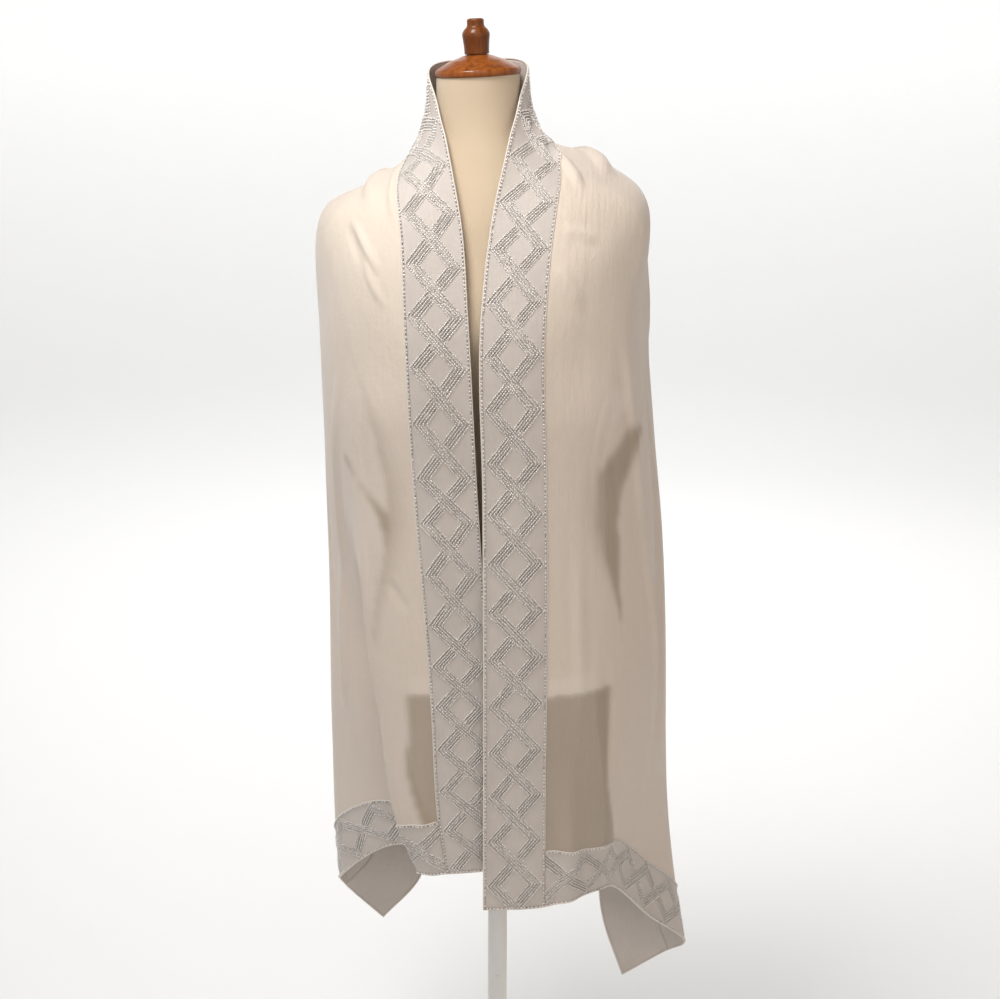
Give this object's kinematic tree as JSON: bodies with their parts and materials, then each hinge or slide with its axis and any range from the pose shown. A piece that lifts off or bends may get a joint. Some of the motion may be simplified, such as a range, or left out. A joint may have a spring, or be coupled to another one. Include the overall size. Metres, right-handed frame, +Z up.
{
  "type": "beaded scarf on a dress form",
  "caption": "Sheer chiffon scarf with beaded borders, worn like a cape over a limbless dress form with a turned neck cap, on a pole and round base.",
  "frame": {"origin": "centre of the underside of the round base, on the floor", "axes": "+Z up, the scarf's open front faces -Y, +X is to the right seen from the front"},
  "size_m": [0.4735, 0.36, 1.5641],
  "materials": {
    "chiffon": "sheer pale beige silk chiffon",
    "border": "doubled pale chiffon with rows of small silver-grey beads",
    "form_cover": "smooth cream cotton jersey cover",
    "wood": "varnished red-brown turned wood",
    "enamel": "satin off-white enamel"
  },
  "bodies": {
    "root": {"chiffon_front_left": "chiffon", "chiffon_back": "chiffon", "chiffon_front_right": "chiffon", "border_collar": "border", "border_front_left": "border", "border_front_right": "border", "border_hem_left": "border", "border_hem_right": "border", "border_outer_left": "border", "border_outer_back": "border", "border_outer_right": "border", "form_torso": "form_cover", "form_neck_cap": "wood", "form_finial": "wood", "form_pole": "enamel", "form_base": "enamel"}
  },
  "joints": []
}
